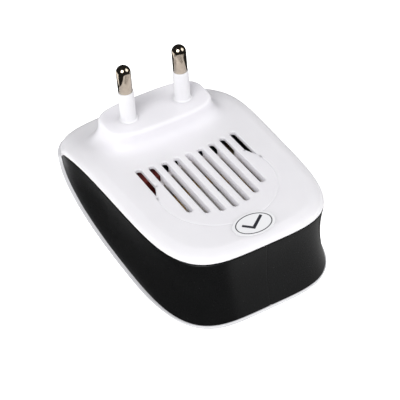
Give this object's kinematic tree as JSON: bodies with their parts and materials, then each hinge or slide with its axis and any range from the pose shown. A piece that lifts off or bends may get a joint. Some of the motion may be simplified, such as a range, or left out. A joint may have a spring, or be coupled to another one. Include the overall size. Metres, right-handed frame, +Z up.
{
  "type": "ultrasonic pest repeller",
  "caption": "Plug-in ultrasonic pest repeller: white wedge-shaped housing with a black side band, vent slots and round plug pins on its rear.",
  "frame": {"origin": "bottom centre of the bounding box, where the flat of the front cover rests on a table", "axes": "+Z up from the table, +Y towards the plug end, +X across the two pins; the rear face and the pins lean 8.3 degrees towards +Y"},
  "size_m": [0.0588, 0.0902, 0.046],
  "materials": {
    "rear_shell": "satin white ABS",
    "front_shell": "smooth white ABS",
    "band": "satin black ABS",
    "grille": "white ABS",
    "lens": "clear polycarbonate",
    "sleeve": "white insulating plastic",
    "pin_metal": "nickel-plated brass",
    "carrier": "ivory thermoset",
    "terminal": "brass strip",
    "lead_red": "PVC insulation",
    "board": "brown phenolic board",
    "film_cap": "dark red epoxy",
    "can_cap": "dark sleeve",
    "diode": "black epoxy",
    "fuse": "ceramic coat",
    "resistor": "beige lacquer",
    "chip": "black epoxy",
    "coil": "black bobbin",
    "holder": "white ABS",
    "case": "black plastic",
    "disc": "brass plate",
    "ceramic": "silvered ceramic",
    "lead_black": "PVC insulation",
    "led": "clear blue epoxy",
    "screw": "zinc-plated steel",
    "label": "coated paper"
  },
  "bodies": {
    "root": {"rear_cover": "rear_shell", "front_cover": "front_shell", "side_band": "band", "front_grille": "grille", "light_lens": "lens", "pin_sleeve_left": "sleeve", "pin_sleeve_right": "sleeve", "pin_left": "pin_metal", "pin_right": "pin_metal", "pin_carrier": "carrier", "terminal_left": "terminal", "terminal_right": "terminal", "supply_leads": "lead_red", "circuit_board": "board", "film_capacitor": "film_cap", "electrolytic_capacitor": "can_cap", "rectifier_diodes": "diode", "fuse_resistor": "fuse", "small_resistors": "resistor", "control_chip": "chip", "driver_transistors": "chip", "step_up_coil": "coil", "speaker_holder": "holder", "transducer_case": "case", "transducer_disc": "disc", "piezo_ceramic": "ceramic", "speaker_leads": "lead_black", "indicator_led": "led", "cover_screw": "screw", "board_screws": "screw", "inspection_label": "label"}
  },
  "joints": []
}
